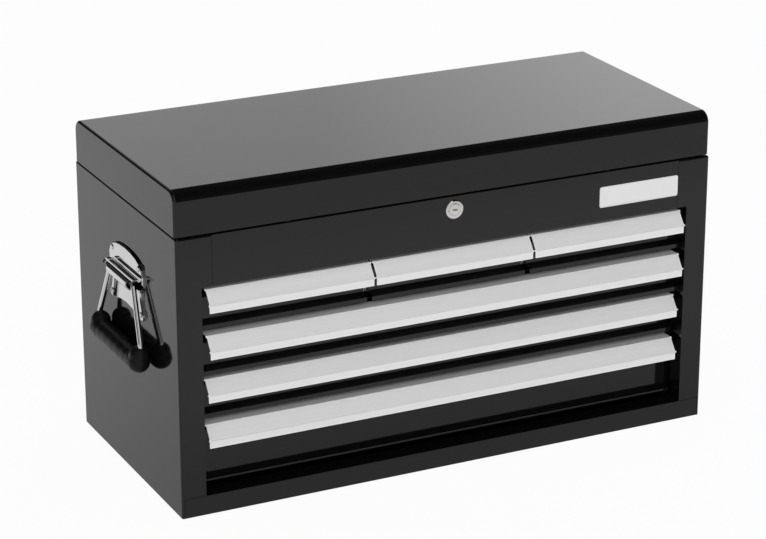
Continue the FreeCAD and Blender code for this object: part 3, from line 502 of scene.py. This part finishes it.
plate_finish = chrome_with_painted_mouth_shade()
finishes = {
    "case_paint": black_paint(),
    "pull_metal": pull_metal(),
    "zinc_steel": plain_metal("zinc_plate", ZINC, 0.3),
    "chrome": plain_metal("chrome_plate", CHROME, 0.06, 0.03),
    "grip_rubber": rubber("grip_rubber", 0.4, specular=0.2),
    "lock_nickel": plain_metal("nickel_plate", NICKEL, 0.14, 0.04),
    "badge_metal": plain_metal("satin_plate", BADGE_SATIN, 0.3, 0.02, scale=900.0, metallic=0.4, darker=0.97),
    "pad_rubber": rubber("pad_rubber", 0.7),
}
for shared in ("lid_paint", "drawer_paint", "black_hinge"):
    finishes[shared] = finishes["case_paint"]

slot_of = {row["node"]: row["material_slot"] for row in frame["record"]["subparts"]}
body_of = {node: body for body, names in frame["record"]["behaviour"]["bodies"].items() for node in names}
for name, piece in frame["nodes"].items():
    for place in piece.material_slots:
        place.material = plate_finish if name.startswith("handle_plate") else finishes[slot_of[name]]


# Lid

LID_BEND = 13 * MM
LID_CORNER = 3 * MM
GAUGE = 1 * MM
LID_FOLD = 10 * MM
LID_BEND_STEPS = 12
LID_CORNER_STEPS = 5


def lid_pressing():
    """The lid's folded skin: long bends at the front and rear, small ones at the ends, edges turned in."""
    low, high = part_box("lid_shell")
    lid = block("lid_pressing", low, high)
    pick(lid, "FACE", lambda face: face.normal.z < -0.9)
    bpy.ops.mesh.delete(type="FACE")
    finish_edit()
    pick(lid, "EDGE", lambda edge: edge_runs(edge, "x") and edge_at(edge, z=high.z))
    bevel_picked(LID_BEND, LID_BEND_STEPS)

    def at_end(edge):
        return (edge_at(edge, x=low.x) or edge_at(edge, x=high.x)) and not edge_at(edge, z=low.z)

    pick(lid, "EDGE", at_end)
    bevel_picked(LID_CORNER, LID_CORNER_STEPS)
    pick(lid, "EDGE", lambda edge: edge_at(edge, z=low.z))
    push((0, 0, 0))
    wide, deep = high.x - low.x, high.y - low.y
    bpy.ops.transform.resize(value=((wide - 2 * LID_FOLD) / wide, (deep - 2 * LID_FOLD) / deep, 1),
                             center_override=((low.x + high.x) / 2, (low.y + high.y) / 2, low.z))
    finish_edit()
    apply_modifier(lid, "SOLIDIFY", thickness=GAUGE, offset=-1, use_even_offset=True)
    close_up(lid)
    smooth(lid, 40)
    fit(lid, "lid", "lid_paint", "lid_shell")


lid_pressing()


# Drawer pulls

PULL_WALL = 1.2 * MM
PULL_HOOK = 6 * MM
PULL_SLANT = 14.2 * MM
PULL_FLARE = 11 * MM
PULL_RIB = 1.1 * MM
PULL_EDGE = 0.25 * MM
NUB_PROUD = 1.2 * MM
NUB_DEPTH = 1.5 * MM
RIM = 1.1 * MM
LINE_STEP = 0.2 * MM
LINE_SHARES = (0.1, 0.13, 0.7, 0.73)


def pull_path(low, high):
    """Outer line of a pull in the YZ plane, from the hook behind the front round to the lip's foot."""
    lip = low.y + PULL_RIB
    bend = lip + PULL_FLARE
    knee = high.z - PULL_SLANT
    path = [(high.y, high.z - PULL_WALL - PULL_HOOK), (high.y, high.z), (bend + RIM, high.z), (bend, high.z)]
    slant = Vector((-PULL_FLARE, -PULL_SLANT))
    inward = Vector((PULL_SLANT, -PULL_FLARE)).normalized() * LINE_STEP
    for turn, share in enumerate(LINE_SHARES):
        spot = Vector((bend, high.z)) + slant * share
        sunk = spot + inward
        path += [tuple(spot), tuple(sunk)] if turn % 2 == 0 else [tuple(sunk), tuple(spot)]
    path += [(lip, knee), (low.y, knee - PULL_RIB), (lip, knee - 2 * PULL_RIB), (lip, low.z)]
    return path


def mark_rim_highlight(piece, low, high):
    """Mark how near each point is to the pull's cut ends and foot, where a painted highlight lightens the
    metal.
    """
    rim = piece.data.attributes.new("rim_painted_highlight", "FLOAT", "POINT")
    for place, vert in zip(rim.data, piece.data.vertices):
        away = min(vert.co.x - low.x, high.x - vert.co.x, vert.co.z - low.z)
        place.value = min(1.0, max(0.0, 1 - away / RIM))


def drawn_pull(name, low, high):
    """A sheet strip run along the pull's line, thickened, with soft bends and small nubs at its ends."""
    path = pull_path(low, high)
    (y0, z0), (y1, z1) = path[0], path[1]
    bpy.ops.object.select_all(action="DESELECT")
    middle = ((low.x + high.x) / 2, (y0 + y1) / 2, (z0 + z1) / 2)
    bpy.ops.mesh.primitive_plane_add(size=1, location=middle, rotation=(math.pi / 2, 0, 0))
    piece = bpy.context.object
    piece.name = name
    piece.scale = (high.x - low.x, z1 - z0, 1)
    settle(piece)
    pick(piece, "EDGE", lambda edge: edge_at(edge, z=z1))
    for (y, z), (next_y, next_z) in zip(path[1:], path[2:]):
        push((0, next_y - y, next_z - z))
    finish_edit()
    apply_modifier(piece, "SOLIDIFY", thickness=PULL_WALL, offset=1, use_even_offset=True)
    close_up(piece)
    knee = high.z - PULL_SLANT
    bend = low.y + PULL_RIB + PULL_FLARE

    def at_nub(face):
        spot = face.calc_center_median()
        at_rib = spot.y < low.y + 2 * PULL_RIB and knee - 2 * PULL_RIB < spot.z < knee
        at_bend = spot.z > high.z - NUB_DEPTH and spot.y < bend + RIM
        return abs(face.normal.x) > 0.9 and (at_rib or at_bend)

    for sign in (-1, 1):
        pick(piece, "FACE", lambda face: at_nub(face) and face.normal.x * sign > 0)
        push((sign * NUB_PROUD, 0, 0))
        finish_edit()
    for point, way in (((low.x + RIM, 0, 0), (1, 0, 0)), ((high.x - RIM, 0, 0), (1, 0, 0)),
                       ((0, 0, low.z + RIM), (0, 0, 1))):
        pick(piece, "FACE", lambda face: True)
        bpy.ops.mesh.bisect(plane_co=point, plane_no=way)
        finish_edit()
    soften(piece, PULL_EDGE, 25)
    smooth(piece, 40)
    mark_rim_highlight(piece, low, high)
    return piece


for drawer in DRAWERS:
    pull = drawn_pull(f"silver_pull_{drawer}", *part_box(f"drawer_pull_{drawer}"))
    fit(pull, f"drawer_{drawer}", "pull_metal", f"drawer_pull_{drawer}")


# Folded sheet pieces with a small round on every edge

SHEET_EDGE = 0.3 * MM


def rounded_sheet(node):
    """A copy of a folded piece with its facets merged and its edges rounded."""
    piece = copied(frame["nodes"][node], f"{node}_sheet")
    close_up(piece)
    only(piece)
    bpy.ops.mesh.customdata_custom_splitnormals_clear()
    bpy.ops.object.mode_set(mode="EDIT")
    bpy.ops.mesh.select_all(action="SELECT")
    bpy.ops.mesh.dissolve_limited(angle_limit=math.radians(1))
    finish_edit()
    soften(piece, SHEET_EDGE, 40)
    smooth(piece, 40)
    fit(piece, body_of[node], slot_of[node], node)


for node in ["top_rail", "bottom_rail"] + [f"drawer_box_{drawer}" for drawer in DRAWERS]:
    rounded_sheet(node)


# Lock

LOCK_FACE = 10.8 * MM
LOCK_BODY = 9.5 * MM
PLUG_RADIUS = 7 * MM
PLUG_PLAY = 0.08 * MM
PLUG_EDGE = 0.1 * MM
PLUG_CHAMFER = (0.6 * MM, 0.4 * MM)
LOCK_FLANGE = 2 * MM
NOTCH_REACH = (-9.2 * MM, -6.5 * MM)
NOTCH_HALF = 0.9 * MM
NOTCH_DEPTH = 1.1 * MM
KEY_SLOTS = ((-3.0, 0.4, 0.2), (-0.6, 3.2, -0.2))
KEY_SLOT_HALF = 0.8
KEY_SLOT_DEPTH = 6 * MM
CUT_START = 1 * MM


def lock_housing():
    """Turned housing: bevelled face with a sunk ring round the plug, and the body behind the rail."""
    low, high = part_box("lock_barrel")
    centre = ((low.x + high.x) / 2, low.y, (low.z + high.z) / 2)
    bore = PLUG_RADIUS + PLUG_PLAY
    deep, face = high.y - low.y, LOCK_FLANGE
    stations = [(deep, bore), (deep, LOCK_BODY), (face, LOCK_BODY), (face, LOCK_FACE), (0.9 * MM, LOCK_FACE),
                (0.25 * MM, LOCK_FACE - 0.5 * MM), (0, LOCK_FACE - 1.2 * MM), (0, bore + 0.3 * MM),
                (0.3 * MM, bore), (deep, bore)]
    housing = turned("lock_housing", "y", centre, stations, 64, tube=True)
    notch = block("notch", (centre[0] + NOTCH_REACH[0], low.y - CUT_START, centre[2] - NOTCH_HALF),
                  (centre[0] + NOTCH_REACH[1], low.y + NOTCH_DEPTH, centre[2] + NOTCH_HALF))
    cut_away(housing, notch)
    smooth(housing, 35)
    fit(housing, "case", "lock_nickel", "lock_barrel")


def lock_cylinder():
    """Plug with a bevelled rim and a stepped key slot."""
    low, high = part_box("lock_plug")
    centre = ((low.x + high.x) / 2, low.y, (low.z + high.z) / 2)
    deep = high.y - low.y
    plug = turned("lock_cylinder", "y", centre, [(0, PLUG_RADIUS - PLUG_CHAMFER[0]),
                                                 (PLUG_CHAMFER[1], PLUG_RADIUS), (deep, PLUG_RADIUS)], 64)
    for x_low, x_high, drop in KEY_SLOTS:
        slot = block("slot", (x_low * MM, low.y - CUT_START, centre[2] + (drop - KEY_SLOT_HALF) * MM),
                     (x_high * MM, low.y + KEY_SLOT_DEPTH, centre[2] + (drop + KEY_SLOT_HALF) * MM))
        cut_away(plug, slot)
    soften(plug, PLUG_EDGE, 35)
    smooth(plug, 35)
    fit(plug, "lock_plug", "lock_nickel", "lock_plug")


lock_housing()
lock_cylinder()


# Badge plate

BADGE_CORNER = 2.5 * MM
BADGE_RIM = 0.9 * MM
BADGE_STEP = 0.25 * MM
BADGE_SUNK = 0.3 * MM
BADGE_EDGE = 0.15 * MM


def bare_badge():
    """Bare plate with rounded corners and a fine raised rim."""
    low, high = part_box("badge_plate")
    plate = block("bare_badge", low, high)
    pick(plate, "EDGE", lambda edge: edge_runs(edge, "y"))
    bevel_picked(BADGE_CORNER, 6)
    pick(plate, "FACE", lambda face: face.normal.y < -0.9)
    bpy.ops.mesh.inset(thickness=BADGE_RIM)
    bpy.ops.mesh.inset(thickness=BADGE_STEP, depth=-BADGE_SUNK)
    finish_edit()
    soften(plate, BADGE_EDGE, 40)
    smooth(plate, 40)
    fit(plate, "case", "badge_metal", "badge_plate")


bare_badge()


# Rivets

def rivet_head(name, axis, centre, radius, height):
    """A domed head that rises along an axis from its seat."""
    arc = [math.radians(angle) for angle in (0, 18, 36, 54, 72, 84)]
    stations = [(0, radius * 0.96), (height * 0.12, radius)]
    stations += [(height * (0.2 + 0.8 * math.sin(a)), radius * math.cos(a)) for a in arc[1:]]
    head = turned(name, axis, centre, stations, 24)
    smooth(head, 60)
    return head


def loose_boxes(node):
    """The lowest and highest corners of each separate solid of a node."""
    shape = bmesh.new()
    shape.from_mesh(frame["nodes"][node].data)
    bmesh.ops.remove_doubles(shape, verts=shape.verts, dist=WELD_SLACK)
    left, boxes = set(shape.verts), []
    while left:
        grown, edge = set(), [left.pop()]
        while edge:
            vert = edge.pop()
            grown.add(vert)
            fresh = {link.other_vert(vert) for link in vert.link_edges} & left
            left -= fresh
            edge += fresh
        spots = [vert.co for vert in grown]
        boxes.append((Vector(map(min, zip(*spots))), Vector(map(max, zip(*spots)))))
    shape.free()
    return boxes


def rivets(name, node, body, axis):
    """Domed heads in place of each plain one of a node, on the face that they sit on."""
    heads = []
    for low, high in loose_boxes(node):
        middle = (low + high) / 2
        spread = high - low
        radius = (spread.x + spread.y + spread.z - getattr(spread, axis)) / 4
        outward = 1 if getattr(middle, axis) > 0 else -1
        seat = low if outward > 0 else high
        height = getattr(spread, axis) * outward
        centre = middle.copy()
        setattr(centre, axis, getattr(seat, axis))
        heads.append(rivet_head(name, axis, centre, radius, height))
    row = joined(heads)
    close_up(row)
    smooth(row, 60)
    fit(row, body, slot_of[node], node)


rivets("plate_rivet_heads", "handle_rivets", "case", "x")
rivets("case_leaf_rivets", "case_rivets", "case", "y")
rivets("lid_leaf_rivets", "lid_rivets", "lid", "y")


# Side handles

WIRE_RADIUS = 3.15 * MM
BAIL_DROP = 80 * MM
LEG_TOP_HALF = 34.7 * MM
LEG_FOOT_HALF = 62 * MM
LEG_STRAIGHT = 20 * MM
BAIL_BENDS = (5 * MM, 12 * MM, 8 * MM)
GRIP_RADIUS = 12.5 * MM
GRIP_END_HALF = 59 * MM
HORN_RADIUS = 11.5 * MM
HORN_RISE = 7.5 * MM
BARREL_RADIUS = 7.5 * MM
GRIP_STAND = 0.5 * MM
GRIP_STEPS = 28
GRIP_SLIM = 0.5 * MM
SLIM_HALF = 46 * MM
WAVE_HEIGHT = 0.12 * MM
WAVE_LENGTH = 9.5 * MM
WAVED_HALF = 44 * MM
GRIP_VOXEL = 0.9 * MM
POLE_SHARE = 0.08
BAIL_START = 1.5 * MM
LEAN = math.atan2(GRIP_RADIUS + GRIP_STAND - BARREL_RADIUS, BAIL_DROP)


def hang(piece, side, sign):
    """Swing a piece that is modelled about the barrel's axis out to its place beside the case."""
    piece.rotation_euler = (0, -sign * LEAN, 0)
    piece.location = pivot_of[f"handle_{side}_swing"]
    settle(piece)


def bent_wire(name, path, bends):
    """A round wire drawn along straight runs and spun through each bend, in the YZ plane."""
    spots = [Vector((0, y, z)) for y, z in path]
    bpy.ops.object.select_all(action="DESELECT")
    bpy.ops.mesh.primitive_circle_add(vertices=24, radius=WIRE_RADIUS, location=spots[0],
                                      rotation=TURN["y"])
    piece = bpy.context.object
    piece.name = name
    settle(piece)
    bpy.ops.object.mode_set(mode="EDIT")
    bpy.ops.mesh.select_mode(type="EDGE")
    bpy.ops.mesh.select_all(action="SELECT")
    here = spots[0]
    for i, bend in enumerate(bends, start=1):
        back = (spots[i] - spots[i - 1]).normalized()
        ahead = (spots[i + 1] - spots[i]).normalized()
        turn = back.angle(ahead)
        start = spots[i] - back * bend * math.tan(turn / 2)
        push(start - here)
        axis = back.cross(ahead).normalized()
        centre = start + axis.cross(back) * bend
        bpy.ops.mesh.spin(steps=8, angle=-turn, center=centre, axis=axis)
        here = spots[i] + ahead * bend * math.tan(turn / 2)
    push(spots[-1] - here)
    bpy.ops.mesh.select_all(action="SELECT")
    bpy.ops.mesh.fill_holes(sides=0)
    finish_edit()
    close_up(piece)
    smooth(piece, 50)
    return piece


def bail_wire(side, sign):
    """The chromed wire from the barrel down both legs and through the grip."""
    half = [(BAIL_START, 0), (LEG_TOP_HALF, 0), (LEG_FOOT_HALF, LEG_STRAIGHT - BAIL_DROP),
            (LEG_FOOT_HALF, -BAIL_DROP)]
    path = half + [(-y, z) for y, z in reversed(half)]
    bail = bent_wire(f"bail_wire_{side}", path, BAIL_BENDS + BAIL_BENDS[::-1])
    hang(bail, side, sign)
    fit(bail, f"handle_{side}", "chrome", f"handle_bail_{side}")


def moulded_grip(side, sign):
    """Rubber grip: a waved bar with swollen ends that turn up round the legs."""
    stations = []
    for i in range(2 * GRIP_STEPS + 1):
        y = -GRIP_END_HALF - GRIP_RADIUS + (GRIP_END_HALF + GRIP_RADIUS) * i / GRIP_STEPS
        past = max(0.0, abs(y) - GRIP_END_HALF)
        radius = math.sqrt(max(GRIP_RADIUS ** 2 - past ** 2, (POLE_SHARE * GRIP_RADIUS) ** 2))
        wave = WAVE_HEIGHT * math.cos(abs(y) / WAVE_LENGTH * math.pi) if abs(y) < WAVED_HALF else 0
        radius -= (GRIP_SLIM if abs(y) < SLIM_HALF else 0) - wave
        stations.append((y, radius))
    parts = [turned(f"moulded_grip_{side}", "y", (0, 0, -BAIL_DROP), stations, 40)]
    dome = [math.radians(angle) for angle in (0, 20, 40, 60, 75, 86)]
    for end in (-GRIP_END_HALF, GRIP_END_HALF):
        horn = [(-GRIP_RADIUS * 0.5, HORN_RADIUS * 0.8), (0, HORN_RADIUS), (HORN_RISE, HORN_RADIUS)]
        horn += [(HORN_RISE + HORN_RADIUS * math.sin(a), HORN_RADIUS * math.cos(a)) for a in dome[1:]]
        parts.append(turned("horn", "z", (0, end, -BAIL_DROP), horn, 32))
    grip = joined(parts)
    apply_modifier(grip, "REMESH", mode="VOXEL", voxel_size=GRIP_VOXEL)
    apply_modifier(grip, "SMOOTH", factor=0.5, iterations=10)
    hang(grip, side, sign)
    close_up(grip)
    only(grip)
    bpy.ops.object.shade_smooth()
    fit(grip, f"handle_{side}", "grip_rubber", f"handle_grip_{side}")


for side, sign in SIDES:
    bail_wire(side, sign)
    moulded_grip(side, sign)


# Floor, backdrop and light

# Floor tones that only gloss sees: the dip near the chest is a painted shadow of the chest.
FLOOR_TONES = ((-1.05, 0.58), (-0.85, 0.7), (-0.45, 0.68), (-0.2, 0.5), (0.1, 0.6), (0.45, 0.74),
               (1.0, 0.78))
FLOOR_SIZE = 14
FLOOR_MATT = (0.85, 0.85, 0.85, 1)
FLOOR_SPAN = 1.2
SEEN_SHARE = 0.95
MIRRORED_SHARE = 0.9

# What gloss mirrors of the room: where a level starts and stops moving with the direction, and the
# levels before and after. A pale wall stands low at the back, with a strip of light over it, and a
# soft light hangs at the front left.
WALL_RIGHT = (0.4, 0.5, 0.94, 1.4)
WALL_LEFT = (0.05, 0.25, 0.03, 1.0)
WALL_TOP = (0.36, 0.44, 1.0, 0.03)
WALL_NEAR = (-0.1, 0.2, 0.03, 1.0)
STRIP_LEFT = (-0.14, -0.08, 0.0, 1.0)
STRIP_RIGHT = (-0.02, 0.04, 1.0, 0.0)
STRIP_FOOT = (0.4, 0.45, 0.0, 1.0)
FRONT_BACK = (-0.35, -0.2, 1.0, 0.0)
FRONT_LEFT = (-0.2, -0.12, 0.35, 1.0)
FRONT_RIGHT = (0.1, 0.18, 1.0, 0.0)
SOFT_LIGHT = 0.55
KEY_PLACE = (-0.9, -3.0, 1.3)
KEY_AIM = (0, 0, 0.2)
KEY_POWER = 1.8
KEY_SPREAD = 50


def floor_tones(tree):
    """Grey levels of the floor as gloss shows it, higher at the back and lower in front, with a dip near the
    chest that is a painted shadow.
    """
    place = add(tree, "TexCoord")
    parts = add(tree, "SeparateXYZ")
    ramp = add(tree, "ValToRGB")
    wire(tree, place.outputs["Object"], parts.inputs[0])
    wire(tree, level(tree, parts.outputs["Y"], -FLOOR_SPAN, FLOOR_SPAN), ramp.inputs["Fac"])
    stops = ramp.color_ramp.elements
    while len(stops) < len(FLOOR_TONES):
        stops.new(0.5)
    for stop, (y, tone) in zip(stops, FLOOR_TONES):
        stop.position = (y + FLOOR_SPAN) / (2 * FLOOR_SPAN)
        stop.color = (tone, tone, tone, 1)
    return ramp.outputs["Color"]


def mixed(tree, mask, plain, other):
    """Two shaders mixed by a mask."""
    mix = add(tree, "MixShader")
    wire(tree, mask, mix.inputs["Fac"])
    wire(tree, plain, mix.inputs[1])
    wire(tree, other, mix.inputs[2])
    return mix.outputs[0]


def pale_floor():
    """White floor that keeps the chest's soft shadow."""
    bpy.ops.object.select_all(action="DESELECT")
    bpy.ops.mesh.primitive_plane_add(size=FLOOR_SIZE)
    floor = bpy.context.object
    floor.name = "floor"
    mat = bpy.data.materials.new("pale_floor")
    mat.use_nodes = True
    tree = mat.node_tree
    tree.nodes.clear()
    out = tree.nodes.new("ShaderNodeOutputMaterial")
    matt = add(tree, "BsdfDiffuse")
    matt.inputs["Color"].default_value = FLOOR_MATT
    white = add(tree, "Emission", Strength=1.0)
    grey = add(tree, "Emission", Strength=1.0)
    wire(tree, floor_tones(tree), grey.inputs["Color"])
    seen = add(tree, "LightPath")
    direct = times(tree, seen.outputs["Is Camera Ray"], SEEN_SHARE)
    mirrored = maths(tree, "MAXIMUM", seen.outputs["Is Glossy Ray"], seen.outputs["Is Transmission Ray"])
    plain = mixed(tree, direct, matt.outputs[0], white.outputs[0])
    whole = mixed(tree, times(tree, mirrored, MIRRORED_SHARE), plain, grey.outputs[0])
    wire(tree, whole, out.inputs["Surface"])
    floor.data.materials.append(mat)


def backdrop():
    """White background, soft even light, and the wall and lights that gloss mirrors."""
    world = bpy.data.worlds.new("studio")
    scene.world = world
    world.use_nodes = True
    tree = world.node_tree
    tree.nodes.clear()
    out = tree.nodes.new("ShaderNodeOutputWorld")
    seen = add(tree, "LightPath")
    place = add(tree, "TexCoord")
    parts = add(tree, "SeparateXYZ")
    wire(tree, place.outputs["Generated"], parts.inputs[0])
    x, y, z = (parts.outputs[axis] for axis in "XYZ")
    wall = times(tree, times(tree, level(tree, x, *WALL_RIGHT), level(tree, x, *WALL_LEFT)),
                 level(tree, z, *WALL_TOP))
    strip = times(tree, times(tree, level(tree, x, *STRIP_LEFT), level(tree, x, *STRIP_RIGHT)),
                  level(tree, z, *STRIP_FOOT))
    back = times(tree, maths(tree, "ADD", wall, strip), level(tree, y, *WALL_NEAR))
    front = times(tree, level(tree, y, *FRONT_BACK),
                  times(tree, level(tree, x, *FRONT_LEFT), level(tree, x, *FRONT_RIGHT)))
    soft = add(tree, "Background", Strength=SOFT_LIGHT)
    mirror = add(tree, "Background")
    wire(tree, maths(tree, "ADD", back, front), mirror.inputs["Strength"])
    white = add(tree, "Background", Strength=1.0)
    for socket in (soft.inputs["Color"], mirror.inputs["Color"], white.inputs["Color"]):
        socket.default_value = (1, 1, 1, 1)
    lit = mixed(tree, seen.outputs["Is Glossy Ray"], soft.outputs[0], mirror.outputs[0])
    wire(tree, mixed(tree, seen.outputs["Is Camera Ray"], lit, white.outputs[0]), out.inputs["Surface"])


def key_light():
    """Wide soft light from the front, low enough for the pulls' lips."""
    lamp = bpy.data.lights.new("front_light", "SUN")
    lamp.energy = KEY_POWER
    lamp.angle = math.radians(KEY_SPREAD)
    holder = bpy.data.objects.new("front_light", lamp)
    scene.collection.objects.link(holder)
    holder.location = KEY_PLACE
    aim = Vector(KEY_AIM) - holder.location
    holder.rotation_euler = aim.to_track_quat("-Z", "Y").to_euler()
    holder.visible_glossy = False


pale_floor()
backdrop()
key_light()
